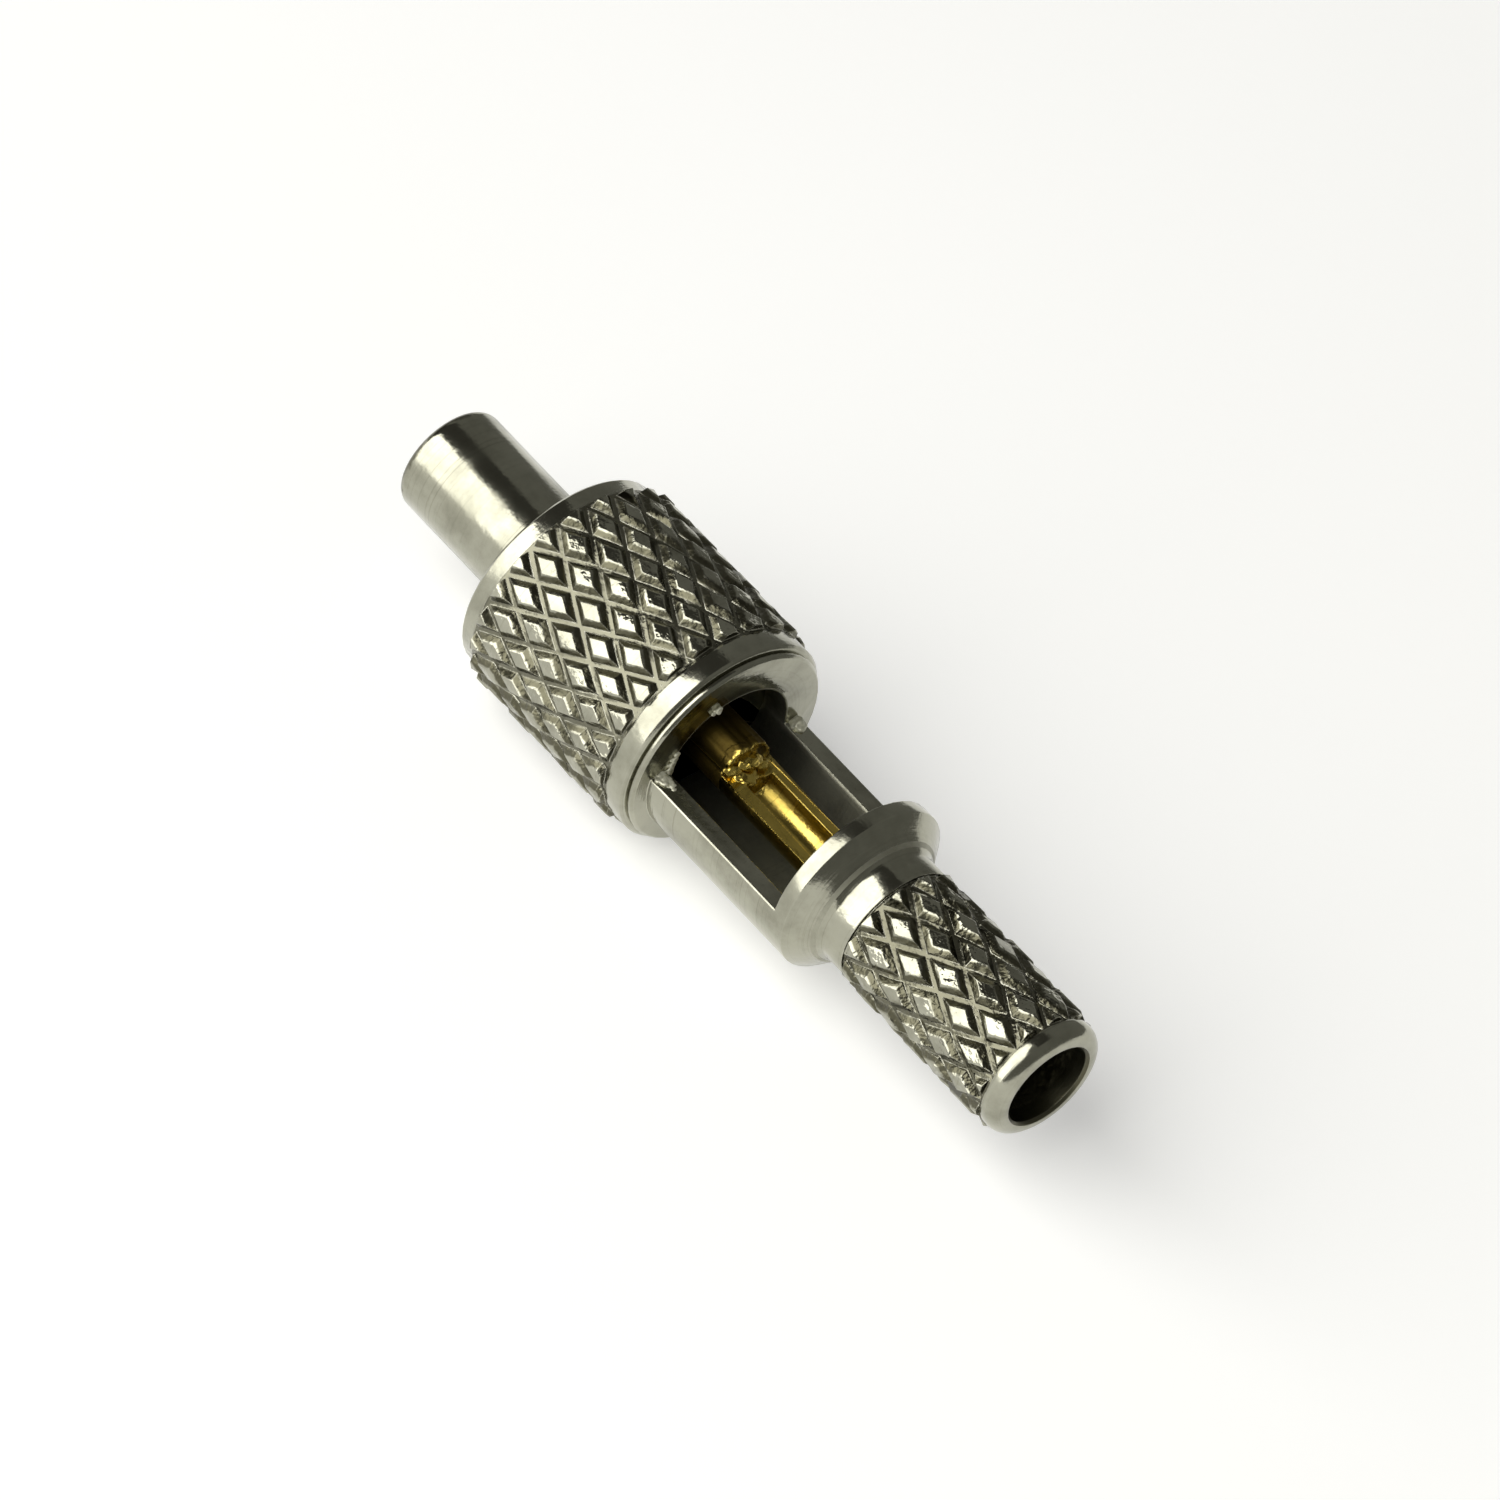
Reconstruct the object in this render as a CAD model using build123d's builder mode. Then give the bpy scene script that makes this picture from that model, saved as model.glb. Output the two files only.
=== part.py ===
"""Small coaxial antenna connector for a modem: a crimp plug for thin 50 ohm cable.

The axis of the connector is the X axis. The mating rim stands at x = 0 and the cable end points to +X.
+Z points out of the solder window. All sizes are in millimetres.
"""

from build123d import *
from math import cos, floor, pi, radians, sin, sqrt, tan
import os

os.makedirs("parts", exist_ok=True)

# Mating tube: the thin outer contact at the front
TUBE_BORE_R = 0.74
TUBE_WALL = 0.35
TUBE_REACH = 3.20
TUBE_RIM_LAND = 0.10
TUBE_RIM_INNER_CHAMFER = 0.05
TUBE_SHOULDER_LENGTH = 0.40
TUBE_SEAT_RISE = 0.33

# Crimp body: spigot, flange, window tube, collar, cone and crimp stem in one turned piece
BODY_BORE_R = 1.35
BODY_WALL = 0.42
FLANGE_LENGTH = 0.15
FLANGE_RISE = 0.33
FLANGE_EDGE_CHAMFER = 0.05
WINDOW_LENGTH = 3.45
WINDOW_FLOOR_Z = 0.0
BORE_PAST_WINDOW = 0.12
COLLAR_LENGTH = 0.29
CONE_LENGTH = 0.46
CONE_FOOT_ROUND = 0.18

# Crimp stem, the rear end of the body
STEM_BORE_R = 0.85
STEM_WALL = 0.375
STEM_BAND_LENGTH = 0.53
STEM_KNURL_LENGTH = 3.80
STEM_KNURL_RISE = 0.05
STEM_KNURL_STARTS = 12
STEM_KNURL_ANGLE = 27.3
STEM_KNURL_TURN = 20.0
STEM_KNURL_FIRST_ROW = 0.66
STEM_RIM_LENGTH = 0.37
STEM_RIM_LAND = 0.03
STEM_BORE_CHAMFER = 0.06

# Grip sleeve: the knurled ring that hides the joint of tube and body
SLEEVE_LENGTH = 4.62
SLEEVE_FRONT_WALL = 0.50
SLEEVE_WALL = 0.52
SLEEVE_FRONT_BAND_LENGTH = 0.38
SLEEVE_FRONT_BAND_DROP = 0.15
SLEEVE_REAR_BAND_LENGTH = 0.44
SLEEVE_REAR_BAND_DROP = 0.10
SLEEVE_KNURL_STARTS = 22
SLEEVE_KNURL_ANGLE = 28.7
SLEEVE_KNURL_TURN = 5.6
SLEEVE_KNURL_FIRST_ROW = 0.61
SLEEVE_EDGE_CHAMFER = 0.06

# Diamond knurl, cut to the same depth on sleeve and stem
KNURL_DEPTH = 0.11
KNURL_LAND = 0.26
KNURL_RELIEF = 0.07
BURIED = 0.01

# Centre contact: mating pin, shank in the bead, and solder cup
PIN_R = 0.25
PIN_RECESS = 0.60
PIN_TIP_ROUND = 0.12
SHANK_R = 0.42
CUP_BORE_R = 0.36
CUP_WALL = 0.22
CONTACT_STEP_FROM_FLANGE = 0.53
CUP_FLAT_LENGTH = 0.33
CUP_LENGTH = 2.47
CUP_FLOOR_Z = 0.05
CUP_END_CHAMFER = 0.05

# Insulators
FRONT_INSULATOR_RECESS = 1.20
REAR_INSULATOR_LENGTH = 2.30

# Clearance between the radii of pieces that are pressed together
PRESS_CLEARANCE = 0.01

# Stations along the axis
sleeve_front_x = TUBE_REACH
sleeve_rear_x = sleeve_front_x + SLEEVE_LENGTH
sleeve_knurl_start_x = sleeve_front_x + SLEEVE_FRONT_BAND_LENGTH
sleeve_knurl_end_x = sleeve_rear_x - SLEEVE_REAR_BAND_LENGTH
shoulder_front_x = sleeve_front_x + SLEEVE_FRONT_WALL
body_front_x = shoulder_front_x + TUBE_SHOULDER_LENGTH
flange_rear_x = sleeve_rear_x + FLANGE_LENGTH
window_end_x = flange_rear_x + WINDOW_LENGTH
body_bore_end_x = window_end_x + BORE_PAST_WINDOW
collar_end_x = window_end_x + COLLAR_LENGTH
cone_end_x = collar_end_x + CONE_LENGTH
stem_knurl_start_x = cone_end_x + STEM_BAND_LENGTH
stem_knurl_end_x = stem_knurl_start_x + STEM_KNURL_LENGTH
stem_end_x = stem_knurl_end_x + STEM_RIM_LENGTH
bead_end_x = body_front_x + REAR_INSULATOR_LENGTH
contact_step_x = flange_rear_x + CONTACT_STEP_FROM_FLANGE
cup_bore_start_x = contact_step_x + CUP_FLAT_LENGTH
contact_end_x = cup_bore_start_x + CUP_LENGTH

# Radii, worked out from the bores outwards
tube_r = TUBE_BORE_R + TUBE_WALL
tube_rim_round = TUBE_WALL - TUBE_RIM_INNER_CHAMFER - TUBE_RIM_LAND
body_r = BODY_BORE_R + BODY_WALL
flange_r = body_r + FLANGE_RISE
stem_r = STEM_BORE_R + STEM_WALL
stem_rim_round = STEM_WALL - STEM_BORE_CHAMFER - STEM_RIM_LAND
stem_root_r = stem_r + STEM_KNURL_RISE - KNURL_DEPTH
tube_seat_r = tube_r + TUBE_SEAT_RISE
sleeve_hole_r = tube_seat_r + PRESS_CLEARANCE
sleeve_bore_r = body_r + PRESS_CLEARANCE
sleeve_crest_r = sleeve_bore_r + SLEEVE_WALL
sleeve_root_r = sleeve_crest_r - KNURL_DEPTH
front_band_r = sleeve_crest_r - SLEEVE_FRONT_BAND_DROP
rear_band_r = sleeve_crest_r - SLEEVE_REAR_BAND_DROP
contact_r = CUP_BORE_R + CUP_WALL
sleeve_core_r = sleeve_root_r * cos(pi / (2 * SLEEVE_KNURL_STARTS)) - BURIED
stem_core_r = stem_root_r * cos(pi / (2 * STEM_KNURL_STARTS)) - BURIED


def knurled_band(band_start_x, band_end_x, root_r, inner_r, starts, angle, first_turn, first_row):
    """A ring with raised diamonds, left between two crossing sets of helical grooves with 45 degree flanks.

    The groove floors are narrow, so the ring under them is a prism with two flats for each tooth.
    A tooth of the first whole row stands first_turn degrees from +Z towards +Y, and every second row
    is half a tooth further round.
    """
    knurl_start_x = band_start_x + KNURL_RELIEF
    knurl_end_x = band_end_x - KNURL_RELIEF
    first_x = band_start_x + first_row
    around = 2 * pi * (root_r + KNURL_DEPTH) / starts
    along = around / tan(radians(angle))
    half_tooth = around / 2 * cos(radians(angle))
    half_foot = KNURL_LAND / 2 + KNURL_DEPTH
    floor_r = root_r * cos(pi / (2 * starts))
    corner = around / 2 * half_foot / half_tooth
    sink = root_r - sqrt(floor_r**2 - corner**2) + BURIED
    half_long = along / 2 * half_foot / half_tooth
    rows_before = floor((first_x - knurl_start_x + half_long) / (along / 2))
    rows_after = floor((knurl_end_x - first_x + half_long) / (along / 2))

    with BuildPart() as tooth:
        with BuildSketch():
            Polygon((half_long, 0), (0, corner), (-half_long, 0), (0, -corner))
        extrude(amount=KNURL_DEPTH + sink)
        chamfer(tooth.edges().group_by(Axis.Z)[-1], KNURL_DEPTH)

    seats = []
    for row in range(-rows_before, rows_after + 1):
        for step in range(starts):
            turn = radians(first_turn) + 2 * pi * (step + (row % 2) / 2) / starts
            outward = Vector(0, sin(turn), cos(turn))
            foot = Vector(first_x + row * along / 2, 0, 0) + outward * (root_r - sink)
            seats.append(Plane(origin=foot, x_dir=(1, 0, 0), z_dir=outward))

    with BuildPart() as teeth:
        with Locations(*seats):
            add(tooth.part)
        split(bisect_by=Plane.YZ.offset(knurl_start_x), keep=Keep.TOP)
        split(bisect_by=Plane.YZ.offset(knurl_end_x), keep=Keep.BOTTOM)

    with BuildPart() as band:
        with BuildSketch(Plane.YZ.offset(band_start_x)):
            RegularPolygon(radius=root_r, side_count=2 * starts, rotation=90 - first_turn + 90 / starts)
            Circle(inner_r, mode=Mode.SUBTRACT)
        extrude(amount=band_end_x - band_start_x)
        add(teeth.part)
    return band.part


# Mating tube, with a seat in the sleeve's front wall and a shoulder that is trapped behind it
with BuildPart() as mating_tube:
    with BuildSketch(Plane.XY):
        with BuildLine():
            Polyline(
                (0, TUBE_BORE_R),
                (0, tube_r),
                (sleeve_front_x, tube_r),
                (sleeve_front_x, tube_seat_r),
                (shoulder_front_x, tube_seat_r),
                (shoulder_front_x, body_r),
                (body_front_x, body_r),
                (body_front_x, TUBE_BORE_R),
                close=True,
            )
        make_face()
    revolve(axis=Axis.X)
    rim_edges = mating_tube.edges().filter_by(GeomType.CIRCLE).group_by(Axis.X)[0].sort_by(SortBy.RADIUS)
    fillet(rim_edges[-1], tube_rim_round)
    bore_edge = mating_tube.edges().filter_by(GeomType.CIRCLE).group_by(Axis.X)[0].sort_by(SortBy.RADIUS)[0]
    chamfer(bore_edge, TUBE_RIM_INNER_CHAMFER)
mating_tube.part.label = "mating_tube"
export_step(mating_tube.part, "parts/mating_tube.step")

# Grip sleeve, with the knurl between its two smooth bands
sleeve_knurl = knurled_band(
    sleeve_knurl_start_x,
    sleeve_knurl_end_x,
    sleeve_root_r,
    (sleeve_bore_r + sleeve_root_r) / 2,
    SLEEVE_KNURL_STARTS,
    SLEEVE_KNURL_ANGLE,
    SLEEVE_KNURL_TURN,
    SLEEVE_KNURL_FIRST_ROW,
)
with BuildPart() as grip_sleeve:
    with BuildSketch(Plane.XY):
        with BuildLine():
            Polyline(
                (sleeve_front_x, sleeve_hole_r),
                (sleeve_front_x, front_band_r),
                (sleeve_knurl_start_x, front_band_r),
                (sleeve_knurl_start_x, sleeve_core_r),
                (sleeve_knurl_end_x, sleeve_core_r),
                (sleeve_knurl_end_x, rear_band_r),
                (sleeve_rear_x, rear_band_r),
                (sleeve_rear_x, sleeve_bore_r),
                (shoulder_front_x, sleeve_bore_r),
                (shoulder_front_x, sleeve_hole_r),
                close=True,
            )
        make_face()
    revolve(axis=Axis.X)
    ends = grip_sleeve.edges().filter_by(GeomType.CIRCLE).group_by(Axis.X)
    chamfer([ends[0].sort_by(SortBy.RADIUS)[-1], ends[-1].sort_by(SortBy.RADIUS)[-1]], SLEEVE_EDGE_CHAMFER)
    add(sleeve_knurl)
grip_sleeve.part.label = "grip_sleeve"
export_step(grip_sleeve.part, "parts/grip_sleeve.step")

# Crimp body, turned and bored, with the upper half of the window tube milled away
stem_knurl = knurled_band(
    stem_knurl_start_x,
    stem_knurl_end_x,
    stem_root_r,
    (STEM_BORE_R + stem_root_r) / 2,
    STEM_KNURL_STARTS,
    STEM_KNURL_ANGLE,
    STEM_KNURL_TURN,
    STEM_KNURL_FIRST_ROW,
)
with BuildPart() as crimp_body:
    with BuildSketch(Plane.XY):
        with BuildLine():
            Polyline(
                (body_front_x, BODY_BORE_R),
                (body_front_x, body_r),
                (sleeve_rear_x, body_r),
                (sleeve_rear_x, flange_r),
                (flange_rear_x, flange_r),
                (flange_rear_x, body_r),
                (collar_end_x, body_r),
                (cone_end_x, stem_r),
                (stem_knurl_start_x, stem_r),
                (stem_knurl_start_x, stem_core_r),
                (stem_knurl_end_x, stem_core_r),
                (stem_knurl_end_x, stem_r),
                (stem_end_x, stem_r),
                (stem_end_x, STEM_BORE_R),
                (body_bore_end_x, STEM_BORE_R),
                (body_bore_end_x, BODY_BORE_R),
                close=True,
            )
        make_face()
    revolve(axis=Axis.X)
    circles = crimp_body.edges().filter_by(GeomType.CIRCLE)
    end_edges = circles.group_by(Axis.X)[-1].sort_by(SortBy.RADIUS)
    fillet(end_edges[-1], stem_rim_round)
    chamfer(crimp_body.edges().filter_by(GeomType.CIRCLE).group_by(Axis.X)[-1].sort_by(SortBy.RADIUS)[0],
            STEM_BORE_CHAMFER)
    cone_foot = circles.filter_by(lambda edge: abs(edge.center().X - cone_end_x) < PRESS_CLEARANCE)
    fillet(cone_foot, CONE_FOOT_ROUND)
    flange_rims = crimp_body.edges().filter_by(GeomType.CIRCLE).filter_by(
        lambda edge: abs(edge.radius - flange_r) < PRESS_CLEARANCE
    )
    chamfer(flange_rims, FLANGE_EDGE_CHAMFER)
    add(stem_knurl)
    window_middle_x = flange_rear_x + WINDOW_LENGTH / 2
    with BuildSketch(Plane.XY.offset(WINDOW_FLOOR_Z)):
        with Locations((window_middle_x, 0)):
            Rectangle(WINDOW_LENGTH, 3 * body_r)
    extrude(amount=2 * body_r, mode=Mode.SUBTRACT)
crimp_body.part.label = "crimp_body"
export_step(crimp_body.part, "parts/crimp_body.step")

# Centre contact, one turned piece: pin, shank, contact barrel and half-open solder cup
with BuildPart() as centre_contact:
    with BuildSketch(Plane.XY):
        with BuildLine():
            Polyline(
                (PIN_RECESS, 0),
                (PIN_RECESS, PIN_R),
                (body_front_x, PIN_R),
                (body_front_x, SHANK_R),
                (bead_end_x, SHANK_R),
                (bead_end_x, contact_r),
                (contact_end_x, contact_r),
                (contact_end_x, CUP_BORE_R),
                (cup_bore_start_x, CUP_BORE_R),
                (cup_bore_start_x, 0),
                close=True,
            )
        make_face()
    revolve(axis=Axis.X)
    tip = centre_contact.edges().filter_by(GeomType.CIRCLE).group_by(Axis.X)[0]
    fillet(tip, PIN_TIP_ROUND)
    cup_rim = centre_contact.edges().filter_by(GeomType.CIRCLE).group_by(Axis.X)[-1].sort_by(SortBy.RADIUS)[-1]
    chamfer(cup_rim, CUP_END_CHAMFER)
    cut_length = contact_end_x - contact_step_x
    with BuildSketch(Plane.XY.offset(CUP_FLOOR_Z)):
        with Locations((contact_step_x + cut_length / 2, 0)):
            Rectangle(cut_length, 3 * contact_r)
    extrude(amount=2 * contact_r, mode=Mode.SUBTRACT)
centre_contact.part.label = "centre_contact"
export_step(centre_contact.part, "parts/centre_contact.step")

# Rear insulator: the bead that centres the contact in the body
with BuildPart() as rear_insulator:
    with BuildSketch(Plane.YZ.offset(body_front_x)):
        Circle(BODY_BORE_R - PRESS_CLEARANCE)
        Circle(SHANK_R + PRESS_CLEARANCE, mode=Mode.SUBTRACT)
    extrude(amount=REAR_INSULATOR_LENGTH)
rear_insulator.part.label = "rear_insulator"
export_step(rear_insulator.part, "parts/rear_insulator.step")

# Front insulator: fills the tube round the pin, back from the mating rim
with BuildPart() as front_insulator:
    with BuildSketch(Plane.YZ.offset(FRONT_INSULATOR_RECESS)):
        Circle(TUBE_BORE_R - PRESS_CLEARANCE)
        Circle(PIN_R + PRESS_CLEARANCE, mode=Mode.SUBTRACT)
    extrude(amount=body_front_x - FRONT_INSULATOR_RECESS)
front_insulator.part.label = "front_insulator"
export_step(front_insulator.part, "parts/front_insulator.step")
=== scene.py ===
"""Small coaxial antenna connector: finishes, fine detail and studio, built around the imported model."""

import math

import bpy
from bpy.props import FloatProperty, FloatVectorProperty, IntProperty, PointerProperty
from mathutils import Matrix, Vector


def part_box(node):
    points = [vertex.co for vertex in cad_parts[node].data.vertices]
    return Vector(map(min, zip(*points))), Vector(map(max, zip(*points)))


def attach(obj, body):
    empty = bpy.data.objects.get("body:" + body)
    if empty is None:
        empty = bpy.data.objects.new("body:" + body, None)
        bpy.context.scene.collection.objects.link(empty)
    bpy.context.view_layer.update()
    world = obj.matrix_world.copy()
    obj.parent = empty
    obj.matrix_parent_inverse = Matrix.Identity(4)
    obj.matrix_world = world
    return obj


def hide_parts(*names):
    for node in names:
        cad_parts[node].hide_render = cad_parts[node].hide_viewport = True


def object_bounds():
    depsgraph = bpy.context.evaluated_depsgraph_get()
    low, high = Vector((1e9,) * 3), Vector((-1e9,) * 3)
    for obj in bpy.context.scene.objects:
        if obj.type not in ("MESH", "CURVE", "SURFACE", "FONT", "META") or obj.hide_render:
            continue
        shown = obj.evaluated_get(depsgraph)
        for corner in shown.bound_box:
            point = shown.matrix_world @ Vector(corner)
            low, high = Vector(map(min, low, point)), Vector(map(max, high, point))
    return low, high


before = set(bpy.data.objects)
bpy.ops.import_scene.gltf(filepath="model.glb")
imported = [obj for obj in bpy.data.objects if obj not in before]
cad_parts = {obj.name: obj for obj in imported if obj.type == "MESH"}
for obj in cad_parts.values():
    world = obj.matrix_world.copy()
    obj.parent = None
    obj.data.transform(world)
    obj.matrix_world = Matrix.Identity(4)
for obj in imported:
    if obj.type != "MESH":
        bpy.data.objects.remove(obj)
cad_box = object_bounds()

bl_info = {
    "name": "Antenna Connector",
    "version": (1, 0, 0),
    "blender": (4, 5, 0),
    "location": "3D View > Sidebar > Connector",
    "description": "Dresses a small knurled coaxial connector and sets up its studio",
    "category": "Object",
}

BODY = "root"
MM = 0.001

# The reach of each piece that carries a finish by its place
SLEEVE_LOW, SLEEVE_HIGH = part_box("grip_sleeve")
SHELL_LOW, SHELL_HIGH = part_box("crimp_body")
CONTACT_LOW, CONTACT_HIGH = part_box("centre_contact")
TUBE_LOW, TUBE_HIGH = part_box("mating_tube")

# Sizes in millimetres that the detail is placed by
WINDOW_MOUTH = SLEEVE_HIGH.x / MM + 0.15
BORE_RADIUS = 1.37
CONTACT_STEP = CONTACT_HIGH.x / MM - 2.80
TOOTH_HEIGHT = 0.135

# Angles by which the solids' edges are told apart, in degrees
FLAT_ANGLE = 0.3
SHARP_ANGLE = 32.0


class ConnectorSizes(bpy.types.PropertyGroup):
    merge_gap: FloatProperty(
        name="Merge gap",
        description="Corners closer than this are one corner",
        default=0.0002 * MM,
        unit="LENGTH",
        precision=7,
    )
    edge_round: FloatProperty(
        name="Edge rounding",
        description="Width of the worn rounding on every sharp edge",
        default=0.018 * MM,
        unit="LENGTH",
        precision=6,
    )
    edge_segments: IntProperty(
        name="Edge segments",
        description="Strips of faces across a rounded edge",
        default=2,
        min=1,
        max=6,
    )
    smooth_angle: FloatProperty(
        name="Smooth angle",
        description="Faces that meet at less than this angle are shaded as one curve",
        default=math.radians(28),
        subtype="ANGLE",
    )


class ConnectorFinishes(bpy.types.PropertyGroup):
    nickel: FloatVectorProperty(
        name="Nickel",
        description="Bright nickel plate on the tube, sleeve and body",
        default=(0.40, 0.395, 0.320),
        subtype="COLOR",
    )
    # Also the painted shade on the knurl's flanks, in the bores and on the tube's rim.
    nickel_stain_and_shade: FloatVectorProperty(
        name="Nickel stain and shade",
        description="Warm film left in the marks and grooves of the nickel",
        default=(0.085, 0.080, 0.050),
        subtype="COLOR",
    )
    # Also a painted highlight along the edges.
    nickel_wear_and_highlight: FloatVectorProperty(
        name="Worn nickel and highlight",
        description="Clean nickel along worn edges and at the foot of the knurl's grooves",
        default=(0.70, 0.69, 0.58),
        subtype="COLOR",
    )
    gold: FloatVectorProperty(
        name="Gold",
        description="Gold plate on the centre contact",
        default=(0.63, 0.47, 0.11),
        subtype="COLOR",
    )
    gold_stain: FloatVectorProperty(
        name="Gold stain",
        description="Brown shade in the marks of the gold",
        default=(0.10, 0.070, 0.012),
        subtype="COLOR",
    )
    # Painted shade: the barrel in front of the step is darkened to this brown.
    gold_painted_shade: FloatVectorProperty(
        name="Gold painted shade",
        description="Dark brown of the barrel in front of the step",
        default=(0.085, 0.058, 0.013),
        subtype="COLOR",
    )
    torn: FloatVectorProperty(
        name="Torn nickel",
        description="Pale, dull metal of the burrs at the mouth of the window",
        default=(0.66, 0.65, 0.52),
        subtype="COLOR",
    )
    insulator: FloatVectorProperty(
        name="Insulator",
        description="White fluoropolymer round the pin and in the body",
        default=(0.90, 0.90, 0.87),
        subtype="COLOR",
    )


class KnurlSizes(bpy.types.PropertyGroup):
    depth: FloatProperty(
        name="Knurl depth",
        description="From the crests of the knurl to the foot of its grooves",
        default=0.11 * MM,
        unit="LENGTH",
        precision=6,
    )
    sleeve_front: FloatProperty(
        name="Sleeve knurl start",
        description="Where the sleeve's knurl starts along the axis",
        default=SLEEVE_LOW.x + 0.38 * MM,
        unit="LENGTH",
        precision=6,
    )
    sleeve_rear: FloatProperty(
        name="Sleeve knurl end",
        description="Where the sleeve's knurl ends along the axis",
        default=SLEEVE_HIGH.x - 0.44 * MM,
        unit="LENGTH",
        precision=6,
    )
    sleeve_crest: FloatProperty(
        name="Sleeve crest",
        description="Radius of the sleeve over the crests of its knurl",
        default=SLEEVE_HIGH.z,
        unit="LENGTH",
        precision=6,
    )
    stem_front: FloatProperty(
        name="Stem knurl start",
        description="Where the stem's knurl starts along the axis",
        default=SHELL_HIGH.x - 4.17 * MM,
        unit="LENGTH",
        precision=6,
    )
    stem_rear: FloatProperty(
        name="Stem knurl end",
        description="Where the stem's knurl ends along the axis",
        default=SHELL_HIGH.x - 0.37 * MM,
        unit="LENGTH",
        precision=6,
    )
    stem_crest: FloatProperty(
        name="Stem crest",
        description="Radius of the stem over the crests of its knurl",
        default=1.28 * MM,
        unit="LENGTH",
        precision=6,
    )


class StudioSizes(bpy.types.PropertyGroup):
    window_turn: FloatProperty(
        name="Window turn",
        description="Angle between the solder window and the line to the camera, round the connector's axis",
        default=math.radians(42.0),
        subtype="ANGLE",
    )
    end_turn: FloatProperty(
        name="End turn",
        description="Angle by which the cable end comes towards the camera",
        default=math.radians(25.8),
        subtype="ANGLE",
    )
    axis_drop: FloatProperty(
        name="Axis drop",
        description="Angle in the picture between the connector's axis and the horizontal",
        default=math.radians(46.3),
        subtype="ANGLE",
    )
    camera_distance: FloatProperty(
        name="Camera distance",
        description="From the camera to the point of the axis that it is aimed by",
        default=235.6 * MM,
        unit="LENGTH",
    )
    aim: FloatProperty(
        name="Aim",
        description="How far along the axis the camera's aim lies, from the mating rim",
        default=8.47 * MM,
        unit="LENGTH",
        precision=5,
    )
    lens: FloatProperty(
        name="Lens",
        description="Focal length on a sensor 36 mm wide",
        default=325.5,
    )
    softbox_radiance: FloatProperty(
        name="Softbox radiance",
        description="Brightness of the softbox's face, where 1 is white",
        default=3.3,
    )
    softbox_size: FloatProperty(
        name="Softbox size",
        description="Width and height of the softbox",
        default=500 * MM,
        unit="LENGTH",
    )
    room: FloatVectorProperty(
        name="Room",
        description="Colour of the room above the floor",
        default=(0.18, 0.18, 0.165),
        subtype="COLOR",
    )
    floor: FloatVectorProperty(
        name="Floor",
        description="Colour of the floor",
        default=(0.82, 0.82, 0.81),
        subtype="COLOR",
    )
    floor_lift: FloatProperty(
        name="Floor lift",
        description="Light that the floor gives off itself, towards the camera and into reflections",
        default=0.36,
    )


def scene_values():
    """The sizes, the colours and the studio's values that a user would change."""
    scene = bpy.context.scene
    return scene.connector_sizes, scene.connector_finishes, scene.connector_studio


def knurl_values():
    """The sizes of the two knurled stretches."""
    return bpy.context.scene.connector_knurls


def deselect_all():
    """Leave nothing selected, in object mode."""
    if bpy.context.object and bpy.context.object.mode != "OBJECT":
        bpy.ops.object.mode_set(mode="OBJECT")
    bpy.ops.object.select_all(action="DESELECT")


def make_active(piece):
    """Select one piece only and make it the active one."""
    deselect_all()
    piece.select_set(True)
    bpy.context.view_layer.objects.active = piece


def scale_mesh(piece, factor):
    """Scale a piece about the origin, with the size applied to its mesh."""
    make_active(piece)
    piece.scale = (factor, factor, factor)
    bpy.ops.object.transform_apply(location=False, rotation=False, scale=True)


def roughen(piece, pick, strength, grain):
    """Push the corners that pick chooses in and out by a fixed noise. All in millimetres."""
    name = "Rough"
    group = piece.vertex_groups.new(name=name)
    group.add([corner.index for corner in piece.data.vertices if pick(corner.co)], 1.0, "REPLACE")
    clouds = bpy.data.textures.new("Tool marks", "CLOUDS")
    clouds.noise_scale = grain
    clouds.noise_depth = 1
    push = piece.modifiers.new("Tool marks", "DISPLACE")
    push.texture = clouds
    push.texture_coords = "LOCAL"
    push.strength = strength
    push.mid_level = 0.5
    push.vertex_group = name
    bpy.ops.object.modifier_apply(modifier=push.name)
    piece.vertex_groups.remove(piece.vertex_groups[name])


def select_faces(piece, pick):
    """Leave only the faces selected whose middle pick chooses, and end in edit mode."""
    bpy.ops.object.mode_set(mode="EDIT")
    bpy.ops.mesh.select_mode(type="FACE")
    bpy.ops.mesh.select_all(action="DESELECT")
    bpy.ops.object.mode_set(mode="OBJECT")
    for face in piece.data.polygons:
        face.select = pick(face.center)
    bpy.ops.object.mode_set(mode="EDIT")


def cut_finer(piece, low, high, step):
    """Cut the faces between two corners of a box into pieces of about one step. All in millimetres."""
    for axis in range(3):
        normal = [0, 0, 0]
        normal[axis] = 1
        for index in range(round((high[axis] - low[axis]) / step) + 1):
            place = [0, 0, 0]
            place[axis] = low[axis] + index * step
            select_faces(piece, lambda middle: low[0] < middle.x < high[0])
            bpy.ops.mesh.bisect(plane_co=place, plane_no=normal)
    bpy.ops.object.mode_set(mode="OBJECT")


def round_edges(piece, pick, width):
    """Round the edges that pick chooses by their two ends, more than the rest. All in millimetres."""
    bpy.ops.object.mode_set(mode="EDIT")
    bpy.ops.mesh.select_mode(type="EDGE")
    bpy.ops.mesh.select_all(action="DESELECT")
    bpy.ops.object.mode_set(mode="OBJECT")
    corners = piece.data.vertices
    for edge in piece.data.edges:
        edge.select = pick(*(corners[index].co for index in edge.vertices))
    bpy.ops.object.mode_set(mode="EDIT")
    bpy.ops.mesh.bevel(offset=width, segments=3, affect="EDGES")
    bpy.ops.object.mode_set(mode="OBJECT")


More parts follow.
